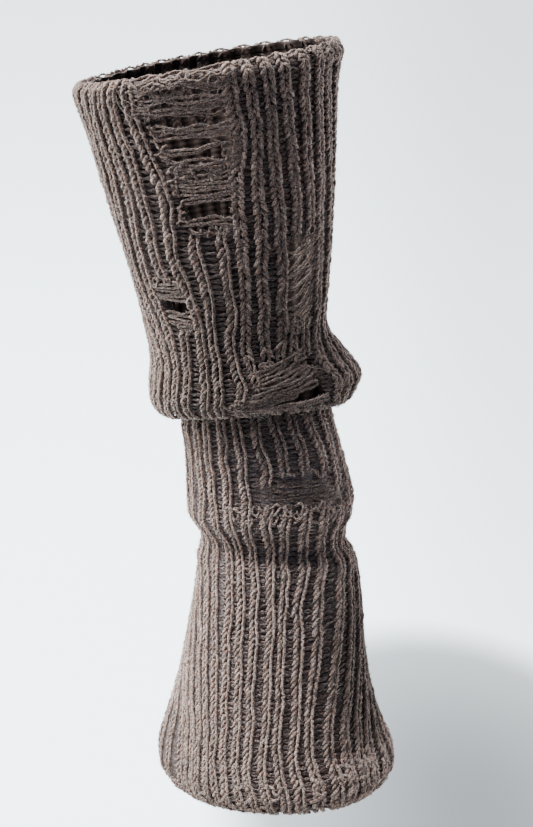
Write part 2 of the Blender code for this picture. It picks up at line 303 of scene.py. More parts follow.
# The studio, in metres
FLOOR_HEIGHT = -0.175
Light = namedtuple("Light", "name place aim_height size power color")
LIGHTS = [
    Light("window", (-1.05, 0.38, 0.3), 0.02, 0.9, 12.5, (1.0, 0.975, 0.925)),
    Light("high window", (-0.6, -0.26, 1.25), 0.04, 0.8, 52, (1.0, 0.985, 0.955)),
    Light("back right", (0.9, 0.7, 0.3), 0.04, 0.7, 10, (1.0, 0.98, 0.96)),
]

SECTION_ROWS = np.array(SECTIONS, float)
LAST_ROW = len(SECTIONS) - 1
FINE_ROWS = np.linspace(0, LAST_ROW, 701)
dice = np.random.default_rng(1811)


def smoothed(values, reach):
    """Values along a line, each mixed with its neighbours."""
    steps = np.arange(-3 * reach, 3 * reach + 1)
    weights = np.exp(-((steps / reach) ** 2))
    padded = np.pad(values, 3 * reach, mode="edge")
    return np.convolve(padded, weights / weights.sum(), "valid")


def jitter(spread, shape=None):
    """Random numbers about 0."""
    return spread * dice.standard_normal(shape)


def rough(spread, shape=None):
    """Random numbers about 1."""
    return 1 + jitter(spread, shape)


def rising(value, start, end):
    """0 up to the start, 1 from the end on, and a straight line between."""
    return np.clip((value - start) / (end - start), 0, 1)


def unit(vectors):
    """The same directions, with length 1."""
    return vectors / (np.linalg.norm(vectors, axis=-1, keepdims=True) + 1e-12)


def bearing_away(bearing, middle):
    """How far round a bearing lies from another, from -180 to 180."""
    return (bearing - middle + 180) % 360 - 180


def outline(row, bearing):
    """Points of the outer outline, with its dents."""
    row, bearing = np.broadcast_arrays(np.asarray(row, float), np.asarray(bearing, float))
    row = np.clip(row, 0, LAST_ROW - 1e-6)
    start = row.astype(int)
    f = (row - start)[..., None]
    a, b, c, d = (SECTION_ROWS[np.clip(start + k, 0, LAST_ROW)] for k in (-1, 0, 1, 2))
    mixed = (
        a * (-f + 2 * f * f - f**3) / 2
        + b * (2 - 5 * f * f + 3 * f**3) / 2
        + c * (f + 4 * f * f - 3 * f**3) / 2
        + d * (f**3 - f * f) / 2
    )
    s = Section(*np.moveaxis(mixed, -1, 0))
    side, ahead = np.sin(np.radians(bearing)), np.cos(np.radians(bearing))
    bow = (s.front_z + s.back_z - s.left_z - s.right_z) / 4
    x = (s.left_x + s.right_x) / 2 + side * (s.right_x - s.left_x) / 2
    y = (s.front_y + s.back_y) / 2 + ahead * (s.front_y - s.back_y) / 2
    z = (s.left_z + s.right_z + s.front_z + s.back_z) / 4 + bow * (ahead**2 - side**2)
    z = z + side * (s.right_z - s.left_z) / 2 + ahead * (s.front_z - s.back_z) / 2
    depth = 0.0
    for dent in DENTS:
        away = bearing_away(bearing, dent.bearing)
        reach = ((z - dent.height) / dent.tall) ** 2 + (away / dent.wide) ** 2
        depth = depth + dent.depth * np.exp(-reach)
    return np.stack([x - side * depth, y + ahead * depth, z], -1)


WALE_TABLE = np.array(WALES, float)
WALE_LINES = [
    smoothed(np.interp(FINE_ROWS, WALE_TABLE[:, 0], column), 4) for column in WALE_TABLE.T[1:]
]


def bearing_of(row, wale):
    """Where a wale, or a place between two, lies round the tube."""
    row, wale = np.broadcast_arrays(np.asarray(row, float), np.asarray(wale, float))
    turns = np.floor((wale - WALE_NUMBERS[0]) / RIBS)
    local = wale - RIBS * turns
    lines = [np.interp(row, FINE_ROWS, line) for line in WALE_LINES]
    lines.append(lines[0] + 360)
    bearing = np.zeros_like(local)
    for k, (low, high) in enumerate(zip(WALE_NUMBERS, WALE_NUMBERS[1:])):
        share = (local - low) / (high - low)
        here = (share >= 0) & (share < 1)
        bearing = np.where(here, lines[k] + share * (lines[k + 1] - lines[k]), bearing)
    return bearing + 360 * turns


def course_scale():
    """The number of the course at each of FINE_ROWS, from the mean length of the cloth."""
    points = outline(FINE_ROWS[:, None], bearing_of(FINE_ROWS[:, None], np.arange(RIBS)))
    lengths = np.linalg.norm(np.diff(points, axis=0), axis=-1).mean(1)
    middles = (FINE_ROWS[1:] + FINE_ROWS[:-1]) / 2
    steps = lengths / np.interp(middles, COURSE_ROWS, COURSE_HEIGHTS)
    return np.concatenate([[0], np.cumsum(steps)]), lengths.sum()


COURSE_AT, CLOTH_LENGTH = course_scale()
COURSES = int(COURSE_AT[-1])


def row_at(course):
    """The row of SECTIONS at a course."""
    return np.interp(course, COURSE_AT, FINE_ROWS)


def inside_edges(course):
    """Courses kept within the two edges of the cloth."""
    return np.clip(course, EDGE, COURSES - EDGE)


def unevenness(course, wale):
    """Soft lumps of a worn, hand-stretched cloth."""
    around = 2 * np.pi * wale / RIBS
    lumps = 0.45 * np.sin(3 * around + course / 11.0 + 1.0) * np.sin(course / 17.0 + 0.4)
    lumps += 0.35 * np.sin(5 * around - course / 7.0 + 2.2)
    lumps += 0.22 * np.sin(9 * around + course / 4.1 + 0.7)
    return lumps


WANDER = np.array(
    [
        0.11 * smoothed(dice.standard_normal(COURSES + 2), 2)
        + 0.16 * smoothed(dice.standard_normal(COURSES + 2), 7)
        for _ in range(RIBS)
    ]
)


def sway(course, wale):
    """How far a wale strays sideways, in wales."""
    down = np.clip(course, 0, COURSES).astype(int)
    round_it = np.floor(wale).astype(int)
    f, g = course - down, wale - round_it
    near, far = (
        (1 - f) * WANDER[rib % RIBS, down] + f * WANDER[rib % RIBS, down + 1]
        for rib in (round_it, round_it + 1)
    )
    return (1 - g) * near + g * far


def wale_pitch(row, wale, reach=0.5):
    """The distance from one wale to the next, measured over some of it to both sides."""
    left = outline(row, bearing_of(row, wale - reach))
    right = outline(row, bearing_of(row, wale + reach))
    return np.linalg.norm(right - left, axis=-1) / (2 * reach)


def pitch_at(course, wale):
    """The distance from one wale to the next at a course."""
    return wale_pitch(row_at(course), wale)


def cloth(course, wale, depth, across=0.0):
    """Points of the knit and the directions out of it. Across is in millimetres from the wale."""
    course, wale, depth, across = np.broadcast_arrays(course, wale, depth, across)
    row = row_at(course)
    home = wale + sway(course, wale)
    bearing = bearing_of(row, home + across / wale_pitch(row, home, 0.3))
    point = outline(row, bearing)
    along = outline(row + 0.03, bearing) - outline(row - 0.03, bearing)
    around = outline(row, bearing + 0.5) - outline(row, bearing - 0.5)
    out = unit(np.cross(along, around))
    point = point - out * (depth - 0.25 * unevenness(course, wale))[..., None]
    return point, out


def dropped(course, wale, only_open=False):
    """True where the stitches have run, or where they have run and opened."""
    course, wale = np.broadcast_arrays(course, wale)
    local = (wale + HALF_RIBS) % RIBS - HALF_RIBS
    gone = np.zeros(local.shape, bool)
    for ladder in LADDERS:
        share = (course - ladder.first) / (ladder.last - ladder.first)
        low = ladder.left_top + share * (ladder.left_end - ladder.left_top)
        high = ladder.right_top + share * (ladder.right_end - ladder.right_top)
        if ladder.open or not only_open:
            gone |= (share >= 0) & (share <= 1) & (local > low) & (local < high)
    return gone


def whole(course, wale, inside=False):
    """True where the stitches are whole and show: neither dropped nor folded away."""
    shows = (course < FOLDED_AWAY[0]) | (course > FOLDED_AWAY[1])
    return shows & ~dropped(course, wale + (0.5 if inside else 0.0))


def painted_light_and_shade(points):
    """Painted light and shade, as a share of the wool's colour: palest low on the left, darkest at
    the slouch and low right, dark under the rolled hem.
    """
    x, z = points[..., 0], points[..., 2]
    share = np.interp(z, PAINTED_LIGHT_HEIGHTS, PAINTED_LIGHT_SHARES)
    share = share + (1 - share) * 0.9 * rising(-x, 34, 45) * (z > 48)
    left = rising(-x, 10, 32) * np.clip((z + 75) / 20, -1.6, 1)
    right = rising(x, 14, 34) * rising(-z, -5, 30) * np.clip((z + 88) / 10, 0.2, 1)
    hem = rising(-z, 70, 90) * rising(x, -35, -10)
    high_left = rising(z, 60, 120) * rising(-x, 45, 60)
    high_right = rising(z, 100, 140) * rising(x, 14, 22)
    # Painted shade under the rolled hem, where it turns in
    shade_under_hem = rising(-z - 0.06 * np.abs(x), 94.5, 99.5)
    share = share - 0.17 * high_left - 0.2 * high_right - 0.5 * shade_under_hem
    return share + rising(-z, -60, 10) * (0.15 * left - 0.75 * right + 0.04 * hem)


def placed(name, data):
    """A new object in the scene."""
    thing = bpy.data.objects.new(name, data)
    bpy.context.scene.collection.objects.link(thing)
    return thing


def point_values(mesh, name, values):
    """A number at each point of a mesh, which its material reads."""
    layer = mesh.attributes.new(name, "FLOAT", "POINT")
    layer.data.foreach_set("value", np.ravel(values).astype(np.float32))


def spokes(along, beside, sides):
    """Directions from the middle of strands to the corners of their cross-sections."""
    side = unit(np.cross(along, beside))
    up = unit(np.cross(side, along))
    angle = 2 * np.pi * np.arange(sides)[:, None] / sides
    return np.cos(angle) * side[..., None, :] + np.sin(angle) * up[..., None, :]


class Yarns:
    """Many round strands, gathered into one mesh."""

    def __init__(self, name, material):
        self.name, self.material = name, material
        self.points, self.faces, self.sizes, self.tones, self.uvs = [], [], [], [], []
        self.count = 0

    def add(self, paths, outs, radius, sides, tones):
        """Strands of equal numbers of points: paths and outs are (strand, point, xyz)."""
        strands, steps, _ = paths.shape
        if strands == 0:
            return
        turn = spokes(unit(np.gradient(paths, axis=1)), outs, sides)
        thick = np.broadcast_to(radius, (strands, steps))[..., None, None]
        rings = paths[:, :, None] + thick * turn
        self.points.append(rings.reshape(-1, 3))
        # The tones are scaled by the painted light and shade at each point.
        tones = np.reshape(tones, (strands, -1)) * painted_light_and_shade(paths)
        self.tones.append(np.repeat(tones.ravel(), sides))

        number = self.count + np.arange(strands * steps * sides).reshape(strands, steps, sides)
        after = np.roll(number, -1, axis=2)
        walls = np.stack([number[:, :-1], number[:, 1:], after[:, 1:], after[:, :-1]], -1)
        caps = np.concatenate([number[:, 0].ravel(), number[:, -1, ::-1].ravel()])
        self.faces += [walls.ravel(), caps]
        self.sizes += [np.full(strands * (steps - 1) * sides, 4), np.full(2 * strands, sides)]

        length = np.linalg.norm(np.diff(paths, axis=1), axis=-1).cumsum(1)
        length = np.concatenate([np.zeros((strands, 1)), length], 1)[..., None]
        start = np.broadcast_to(length[:, :-1], (strands, steps - 1, sides))
        end = np.broadcast_to(length[:, 1:], start.shape)
        angle = np.arange(sides) / sides
        corners = [
            np.stack([angle + step + far / FIBRE_TWIST, far], -1)
            for step, far in ((0, start), (0, end), (1 / sides, end), (1 / sides, start))
        ]
        self.uvs += [np.stack(corners, -2).reshape(-1, 2), np.zeros((len(caps), 2))]
        self.count += strands * steps * sides

    def hairs(self, start, tip, radius, tones, middle=None):
        """Fine three-sided hairs that end in a point, straight or bent at a middle point."""
        count = len(start)
        turn = spokes(tip - start, dice.standard_normal((count, 3)), 3)
        turn = turn * np.reshape(radius, (-1, 1, 1))
        rings = [start[:, None] + turn]
        if middle is not None:
            rings.append(middle[:, None] + 0.8 * turn)
        own = 3 * len(rings) + 1
        self.points.append(np.concatenate([*rings, tip[:, None]], axis=1).reshape(-1, 3))
        self.tones.append(np.repeat(tones, own))
        first = self.count + own * np.arange(count)[:, None]
        walls = np.array([0, 3, 4, 1, 1, 4, 5, 2, 2, 5, 3, 0] * (len(rings) - 1), int)
        ends = [own - 4 + corner for corner in (0, 3, 1, 1, 3, 2, 2, 3, 0)] + [0, 1, 2]
        self.faces += [(first + walls).ravel(), (first + ends).ravel()]
        self.sizes += [np.full(len(walls) // 4 * count, 4), np.full(4 * count, 3)]
        self.uvs.append(np.zeros(((len(walls) + 12) * count, 2)))
        self.count += own * count

    def piece(self):
        """The strands as one object."""
        faces, sizes = np.concatenate(self.faces), np.concatenate(self.sizes)
        mesh = bpy.data.meshes.new(self.name)
        mesh.vertices.add(self.count)
        mesh.vertices.foreach_set("co", (np.concatenate(self.points) * MM).ravel())
        mesh.loops.add(len(faces))
        mesh.loops.foreach_set("vertex_index", faces.astype(np.int32))
        mesh.polygons.add(len(sizes))
        starts = np.concatenate([[0], np.cumsum(sizes)[:-1]])
        mesh.polygons.foreach_set("loop_start", starts.astype(np.int32))
        mesh.polygons.foreach_set("loop_total", sizes.astype(np.int32))
        mesh.update(calc_edges=True)
        mesh.shade_smooth()
        uv = mesh.uv_layers.new(name="yarn")
        uv.data.foreach_set("uv", np.concatenate(self.uvs).ravel())
        point_values(mesh, "tone", np.concatenate(self.tones))
        mesh.materials.append(self.material)
        return placed(self.name, mesh)


def crowding(course, wale):
    """How wide the wales lie, from 0.6 where they are pressed together."""
    return np.clip((pitch_at(course, wale) / 6.0) ** 0.8, 0.6, 1.5)


def fullness(course, wale):
    """How much fatter the ribs are: on the left, where the cloth is slack, and at the hem."""
    bearing = bearing_of(row_at(course), wale)
    slack = np.interp(course, [78, 98], [0.22, 0.0])
    slack = slack * np.exp(-((bearing_away(bearing, -80) / 50) ** 2))
    hem = 0.25 * rising(course, 139, 142) * np.exp(-((bearing_away(bearing, 42) / 30) ** 2))
    return 1 + slack + hem


def openness(course, wale):
    """1 where the cloth is stretched so wide that each stitch shows, else 0."""
    return rising(pitch_at(course, wale), 6.5, 9.0)


def sunk(course, inside):
    """How far the inner stitches have sunk into the ground, from 0 to 1."""
    return rising(course, SINK_FROM, INNER_COURSES) if inside else 0 * course


def faced(course, wale, depth, across, inside):
    """Points of the ribbed outside, or of the same knit on the inside of the tube."""
    if inside:
        points, outs = cloth(course, wale + 0.5, WALL_DEPTH - depth, -across)
        return points, -outs
    return cloth(course, wale, depth, across)


def in_strokes(course, wale):
    """True where the right legs lie as separate strokes too: on the stretched upper right."""
    bearing = bearing_of(row_at(course), wale)
    return (course < STROKE_COURSES) & (bearing > 4) & (bearing < 230)


def stroke_legs(yarns, first, last, side, inside=False):
    """The slanted legs of the knit stitches of some courses: side is -1 for left, 1 for right."""
    course, wale = np.meshgrid(np.arange(first, last), ALL_WALES, indexing="ij")
    course, wale = course.ravel() + 0.5, wale.ravel().astype(float)
    keep = whole(course, wale, inside)
    if side > 0:
        keep &= in_strokes(course, wale)
    course, wale = course[keep], wale[keep]
    count = len(course)
    u = np.linspace(-1, 1, 4)
    torn = dropped(course + 1.2, wale) | dropped(course - 1.2, wale)
    full = (fullness(course, wale) * np.where(torn, 0.75, 1.0))[:, None]
    crowd = crowding(course, wale)[:, None] * full
    lean = 0.38 + jitter(0.12, (count, 1))
    along = course[:, None] - 0.74 * u + jitter(0.10, (count, 1))
    along = inside_edges(along)
    swing = 0.36 * np.sin(np.pi / 2 * u) + lean * u
    across = crowd * (0.1 + LEG_APART - swing + jitter(0.13, (count, 1)))
    depth = 0.9 + 0.45 * u**4 + jitter(0.13, (count, 1))
    depth = depth + np.where(torn, 0.5, 0.0)[:, None] + 0.6 * sunk(along, inside)
    paths, outs = faced(along, wale[:, None], depth, side * across, inside)
    thick = LEFT_LEG * full * np.interp(along, LEG_COURSES, LEG_SHARES)
    thick = thick * (1 - 0.27 * u**4) * (1 - 0.6 * sunk(along, inside))
    thick = thick * rough(0.1, (count, 1)) * rough(0.08, (count, 4))
    tones = rough(0.16, count)
    near = np.abs(wale) < NEAR_WALES
    for here, sides in ((near, 5), (~near, 4)):
        yarns.add(paths[here], outs[here], thick[here], 4 if inside else sides, tones[here])


def right_legs(yarns, first, last, inside=False):
    """The right legs, one after another, as a smooth rope down each wale."""
    for wale in ALL_WALES:
        course = np.arange(first, last, 1 / (2 if inside else 3))
        flags = whole(course, wale, inside)
        if not inside:
            flags &= ~in_strokes(course, np.full(len(course), float(wale)))
        changes = np.flatnonzero(np.diff([0, *flags.astype(int), 0]))
        for start, end in zip(changes[::2], changes[1::2]):
            if end - start < 4:
                continue
            c = inside_edges(course[start:end])
            from_top = c - c[0] + 9 * (start == 0)
            from_end = np.minimum(from_top, c[-1] - c + 9 * (c[-1] > COURSES - 1))
            taper = np.clip(0.3 + from_end / 1.6, 0, 1)
            full = fullness(c, wale)
            apart = openness(c, wale)
            stitch = (c + 0.17) % 1 - 0.5
            joint = apart * (2 * stitch) ** 2
            wander = smoothed(jitter(0.3, len(c)), 3)
            jog = jitter(0.06, len(c)) + 0.55 * apart * stitch
            across = LEG_APART + 0.15 * np.sin(2 * np.pi * c) + wander + jog
            across = crowding(c, wale) * full * across
            depth = 0.86 + 0.16 * np.cos(2 * np.pi * c) + jitter(0.07, len(c))
            depth = depth + 0.9 * (1 - taper) + 0.6 * sunk(c, inside)
            paths, outs = faced(c, float(wale), depth + 0.35 * joint, across, inside)
            thick = RIGHT_LEG * full * taper * np.interp(c, LEG_COURSES, LEG_SHARES)
            thick = thick * (1 - 0.22 * joint) * (1 - 0.6 * sunk(c, inside))
            thick = thick * (1 + 0.10 * np.cos(2 * np.pi * c + 2.0)) * rough(0.08, len(c))
            tone = smoothed(jitter(0.35, len(c)), 2) + 1.04
            sides = 4 if inside or abs(wale) > NEAR_WALES else 5
            yarns.add(paths[None], outs[None], thick, sides, tone[None])


def purl_bars(yarns, first, last, inside=False):
    """The purl stitches in the channels between the ribs: two short bowed bars a course.

    The ends of the upper one bend down and those of the lower one up, to the same knit stitches.
    """
    course, wale = np.meshgrid(np.arange(first, last, 0.5), ALL_WALES, indexing="ij")
    course, wale = course.ravel() + 0.25, wale.ravel() + 0.5
    keep = whole(course, wale, inside)
    course, wale = course[keep], wale[keep]
    count = len(course)
    u = np.array([-1.0, 0.1, 1.0])
    pitch = pitch_at(course, wale)[:, None]
    half = np.clip(pitch / 2 - 1.25 * crowding(course, wale)[:, None], 0.5, 3.2)
    half = half * rough(0.15, (count, 1))
    way = np.where(course % 1 < 0.5, 1.0, -1.0)[:, None]
    along = course[:, None] + 0.34 * way * u**2 + jitter(0.14 * u, (count, 1))
    along = inside_edges(along + jitter(0.09, (count, 1)))
    across = half * (1 - 0.12 * way) * u + jitter(0.25, (count, 1))
    depth = 1.25 + 0.09 * pitch + 0.35 * u**2 - 0.08 * way
    depth = depth + jitter(0.16, (count, 1))
    paths, outs = faced(along, wale[:, None], depth, across, inside)
    thick = PURL_BAR * (1 - 0.25 * u**2) * rough(0.15, (count, 1))
    yarns.add(paths, outs, thick, 3, rough(0.3, count))


def shaggy(stubble, path, count, reach, tone=1.0):
    """Short fibre ends on a yarn that lies along a path of points."""
    at = dice.integers(0, len(path) - 1, count)
    share = dice.uniform(0, 1, (count, 1))
    start = path[at] * (1 - share) + path[at + 1] * share
    lean = unit(dice.standard_normal((count, 3)))
    tip = start + reach * dice.uniform(0.5, 1.0, (count, 1)) * lean
    stubble.hairs(start, tip, 0.1 * dice.uniform(0.7, 1.3, count), tone * rough(0.4, count))


def twisted(yarns, path, outs, tone, ply=0.36, apart=0.2, turn=5.5):
    """Two plies round each other along a path of points."""
    step = np.linalg.norm(np.diff(path, axis=0), axis=-1)
    length = np.concatenate([[0], np.cumsum(step)])
    along = unit(np.gradient(path, axis=0))
    side = unit(np.cross(along, outs))
    up = np.cross(side, along)
    start = dice.uniform(0, 6)
    for half_turn in (0, np.pi):
        phase = (2 * np.pi * length / turn + start + half_turn)[:, None]
        offset = np.cos(phase) * side + np.sin(phase) * up
        tone_here = tone * rough(0.08)
        thick = ply * rough(0.1, len(path))
        yarns.add((path + apart * offset)[None], outs[None], thick, 5, tone_here)


def ladder_strands(yarns, stubble):
    """The yarns left lying across the ladders."""
    for row in STRANDS:
        for k in range(row.count):
            share = k / max(1, row.count - 1)
            start = row.first + share * (row.last - row.first)
            width = float(pitch_at(np.array(start), np.array((row.left + row.right) / 2)))
            steps = max(10, int(width * (row.right - row.left) / 0.75))
            u = np.linspace(0, 1, steps)
            stray = smoothed(jitter(row.stray * 2.2, steps), 4)
            fall = row.drop + row.fan * (share - 0.5) + jitter(0.15)
            course = start + fall * u + row.sag * np.sin(np.pi * u) + stray
            course = np.clip(course, 0.05, COURSES - 0.05)
            wale = row.left + u * (row.right - row.left) + jitter(0.1)
            lift = smoothed(jitter(1.2 * row.stray, steps), 4)
            depth = row.depth + 0.9 * (2 * np.abs(u - 0.5)) ** 6 + 0.4 * lift
            path, outs = cloth(course, wale, depth)
            tone = row.tone * rough(0.18)
            twisted(yarns, path, outs, tone, ply=0.40 * dice.uniform(0.8, 1.1), apart=0.21)
            shaggy(stubble, path, 5 * steps, 1.6, row.tone)


def slack_loops(yarns, stubble):
    """Bunches of short crumpled yarns where stitches have come loose or crowd together."""
    for row in LOOPS:
        for _ in range(row.count):
            course = row.course + row.tall * dice.uniform(-1, 1)
            wale = row.wale + row.wide * dice.uniform(-1, 1)
            steps = int(dice.integers(10, 17))
            bend = dice.choice([-1, 1]) * dice.uniform(0.1, 0.4)
            heading = dice.choice([0, np.pi]) + dice.uniform(-0.7, 0.7)
            heading = heading + np.cumsum(bend + jitter(0.35, steps))
            across = np.cumsum(0.42 * row.size * np.cos(heading))
            along = np.cumsum(0.42 * row.size * np.sin(heading)) / 2.4
            across -= across.mean()
            along = inside_edges(course + along - along.mean())
            lift = smoothed(dice.standard_normal(steps), 2)
            depth = 0.95 - 0.9 * lift / (0.4 + np.abs(lift).max())
            path, outs = cloth(along, wale, depth, across)
            # Painted light and shade by course: loops shaded under the top edge, lit on the rolled
            # hem
            shade = np.interp(row.course, LOOP_COURSES, LOOP_PAINTED_LIGHT)
            tone = shade * rough(0.18)
            ply = 0.34 if row.course < 130 else 0.42
            twisted(yarns, path, outs, tone, ply=ply, turn=5.0)
            shaggy(stubble, path, 12, 1.5, shade)


def rim_ropes(yarns):
    """Cast-on and bound-off edges: a wavy strand round the rim, twisted."""
    wale = np.linspace(-HALF_RIBS, HALF_RIBS, RIBS * 14 + 1)
    for course in (0.25, COURSES - 0.3):
        wave = course + 0.25 * np.sin(2 * np.pi * wale)
        path, outs = cloth(wave, wale, 0.8 + 0.3 * np.cos(2 * np.pi * wale))
        # Their tone of 0.65 is painted shade along both edges.
        twisted(yarns, path, outs, 0.65, apart=0.22)


def fibre_roots(count, from_edge, sides):
    """Random places on the ribs that show: courses, wales and how far across."""
    course = dice.uniform(from_edge, COURSES - from_edge, count)
    rib = np.round(dice.uniform(-HALF_RIBS, HALF_RIBS - 1, count))
    side = dice.choice(sides, count) * LEG_APART
    keep = whole(course, rib)
    return course[keep], rib[keep], side[keep]


def fuzz(yarns, count, reach, thick):
    """Short fibres that stand off the yarns."""
    course, rib, side = fibre_roots(count, 0.3, [-1.0, 0.0, 1.0])
    count = len(course)
    across = side + jitter(0.35, count)
    start, out = cloth(course, rib, 0.35 + np.abs(jitter(0.2, count)), across)
    lean = dice.standard_normal((count, 3))
    lean = unit(lean - out * (lean * out).sum(-1, keepdims=True))
    curl = dice.standard_normal((count, 3))
    long = reach * dice.uniform(0.3, 1.0, (count, 1)) ** 1.5
    rise = dice.uniform(0.1, 0.75, (count, 1))
    middle = start + long * (0.5 * lean + 0.45 * rise * out)
    tip = start + long * (0.95 * lean + 0.6 * rise * out + 0.3 * curl)
    radius = thick * dice.uniform(0.7, 1.3, count)
    yarns.hairs(start, tip, radius, rough(0.3, count), middle)


def nap(yarns, count, reach, thick):
    """The many short fibre ends on the yarns, each a thin spike."""
    course, rib, side = fibre_roots(count, 0.2, [-1.0, 1.0])
    count = len(course)
    across = side * (1 + np.abs(jitter(0.7, count)))
    start, out = cloth(course, rib, 0.3 + np.abs(jitter(0.5, count)), across)
    lean = unit(dice.standard_normal((count, 3)) + 0.35 * out)
    tip = start + reach * dice.uniform(0.4, 1.0, (count, 1)) * lean
    yarns.hairs(start, tip, thick * dice.uniform(0.7, 1.3, count), rough(0.5, count))


def stray_hairs(yarns, count):
    """Long loose hairs: the ones of HAIRS, and others all round."""
    ends = list(HAIRS)
    for _ in range(count):
        course, wale = dice.uniform(1, COURSES - 1), dice.uniform(-HALF_RIBS, HALF_RIBS)
        if FOLDED_AWAY[0] - 2 < course < FOLDED_AWAY[1] + 2:
            continue
        reach = dice.uniform(-3.5, 3.5)
        ends.append([course, wale, course + reach, wale + dice.uniform(-0.9, 0.9), reach / 3])
    u = np.linspace(0, 1, 9)
    for course, wale, to_course, to_wale, bow in ends:
        c = course + (to_course - course) * u
        w = wale + (to_wale - wale) * u + 0.25 * bow * np.sin(np.pi * u)
        c = np.clip(c + 0.3 * smoothed(dice.standard_normal(9), 2), 0.05, COURSES - 0.05)
        depth = 0.3 - (1.2 + abs(bow)) * np.sin(np.pi * u) ** 0.8
        path, outs = cloth(c, w, depth)
        yarns.add(path[None], outs[None], 0.055, 3, 1.3)


def ground_sheet(outside, inside):
    """The thin body of the knit under the yarns, open where it is torn. Its dark colour is painted
    shade of the deep channels.
    """
    columns = RIBS * GROUND_STEPS
    wale = np.arange(columns) / GROUND_STEPS - HALF_RIBS
    c, w = np.meshgrid(np.linspace(0.0, COURSES, GROUND_ROWS), wale, indexing="ij")
    in_channel = (0.5 - 0.5 * np.cos(2 * np.pi * w)) ** 2
    under = np.interp(c, GROUND_COURSES, GROUND_UNDER_RIB)
    channel = np.interp(c, GROUND_COURSES, GROUND_IN_CHANNEL)
    channel = channel + 0.1 * np.clip(pitch_at(c, w) - 6, 0, 8)
    points, _ = cloth(c, w, (under + in_channel * (channel - under)) * fullness(c, w))
    number = np.arange(c.size).reshape(c.shape)
    after = np.roll(number, -1, axis=1)
    quads = np.stack([number[:-1], number[1:], after[1:], after[:-1]], -1)
    middle_w = w[:-1] + 0.5 / GROUND_STEPS
    quads = quads[~dropped((c[:-1] + c[1:]) / 2, middle_w, only_open=True)]
    mesh = bpy.data.meshes.new("knit_ground")
    mesh.from_pydata((points.reshape(-1, 3) * MM).tolist(), [], quads.tolist())
    mesh.update()
    mesh.shade_smooth()
    corners = np.empty(len(mesh.loops), np.int32)
    mesh.loops.foreach_get("vertex_index", corners)
    uv = mesh.uv_layers.new(name="yarn")
    uv.data.foreach_set("uv", np.stack([w.ravel(), c.ravel()], -1)[corners].ravel())
    # Painted light and shade, made stronger on the ground
    point_values(mesh, "tone", painted_light_and_shade(points) ** 1.5)
    # Painted shade inside the tube: darker further down from the top edge
    point_values(mesh, "inner_shade", np.interp(c, [10, 34], [1.1, 0.5]))
    mesh.materials.append(outside)
    mesh.materials.append(inside)
    thing = placed("knit_ground", mesh)
    solid = thing.modifiers.new("cloth thickness", "SOLIDIFY")
    solid.thickness = GROUND_THICKNESS * MM
    solid.offset = -1
    solid.material_offset = 1
    return thing


class Finish:
    """A new dull material, with short ways to add nodes to it."""

    def __init__(self, name, roughness=0.95):
        self.material = bpy.data.materials.new(name)
        self.material.use_nodes = True
        self.tree = self.material.node_tree
        self.shader = self.tree.nodes["Principled BSDF"]
        self.fill(self.shader, {"Roughness": roughness, "Specular IOR Level": 0.1})

    def fill(self, node, inputs):
        """Gives inputs of a node their values, or links them to outputs of others."""
        for key, value in inputs.items():
            if isinstance(value, bpy.types.NodeSocket):
                self.tree.links.new(value, node.inputs[key])
            else:
                node.inputs[key].default_value = value

    def node(self, kind, inputs, **settings):
        """A new node."""
        node = self.tree.nodes.new("ShaderNode" + kind)
        for key, value in settings.items():
            setattr(node, key, value)
        self.fill(node, inputs)
        return node

    def math(self, operation, *values):
        """The result of a sum on one to three values."""
        return self.node("Math", dict(enumerate(values)), operation=operation).outputs[0]

    def scaled(self, color, share):
        """A colour made paler or darker."""
        node = self.node("VectorMath", {0: color, "Scale": share}, operation="SCALE")
        return node.outputs["Vector"]

    def ramp(self, value, low, high):
        """The colour for a value, between two ends that are a position and a colour each."""
        node = self.node("ValToRGB", {"Fac": value})
        for element, (position, color) in zip(node.color_ramp.elements, (low, high)):
            element.position, element.color = position, (*color, 1)
        return node.outputs["Color"]

    def cover(self, color, tone, height, strength, distance):
        """The shader's colour, scaled by an attribute of the mesh, and its bump."""
        share = self.node("Attribute", {}, attribute_name=tone).outputs["Fac"]
        bump = self.node("Bump", {"Strength": strength, "Distance": distance, "Height": height})
        color = self.scaled(color, share)
        self.fill(self.shader, {"Base Color": color, "Normal": bump.outputs["Normal"]})


def yarn_wool(name, dark, light, bump, grain=(11.0, 0.5), share=0.4, sheen=0.55):
    """Heather wool: streaks of dark, pale and rusty fibres along the yarn, with a soft nap.

    Grain is the fineness of the streaks across and along the piece's own pattern coordinates.
    """
    wool = Finish(name)
    pattern = wool.node("UVMap", {}, uv_map="yarn").outputs["UV"]
    place = wool.node("TexCoord", {}).outputs["Object"]

    def noise(scale, detail, source):
        """Noise at some number of grains a metre."""
        inputs = {"Scale": scale, "Detail": detail, "Roughness": 0.7, "Vector": source}
        return wool.node("TexNoise", inputs).outputs["Fac"]

    stretched = wool.node("VectorMath", {0: pattern, 1: (*grain, 1.0)}, operation="MULTIPLY")
    streaks = noise(1.0, 2.0, stretched.outputs["Vector"])
    heather = wool.node("Mix", {"Factor": share, "A": noise(1900.0, 1.0, place), "B": streaks})
    heather = heather.outputs["Result"]
    rusty = wool.node(
        "MapRange", {"From Min": 0.52, "From Max": 0.72, "Value": noise(420.0, 1.0, place)}
    )
    color = wool.ramp(heather, (0.44, dark), (0.56, light))
    color = wool.node(
        "Mix",
        {"Factor": rusty.outputs["Result"], "A": color, "B": (*RUST, 1)},
        data_type="RGBA",
        blend_type="MULTIPLY",
    ).outputs["Result"]
    wool.cover(color, "tone", heather, bump, 0.0004)
    soft = {
        "Subsurface Weight": 0.6,
        "Subsurface Radius": (1.0, 0.8, 0.7),
        "Subsurface Scale": 0.0012,
        "Sheen Weight": sheen,
        "Sheen Roughness": 0.5,
        "Sheen Tint": (0.92, 0.80, 0.72, 1),
    }
    wool.fill(wool.shader, soft)
    return wool.material


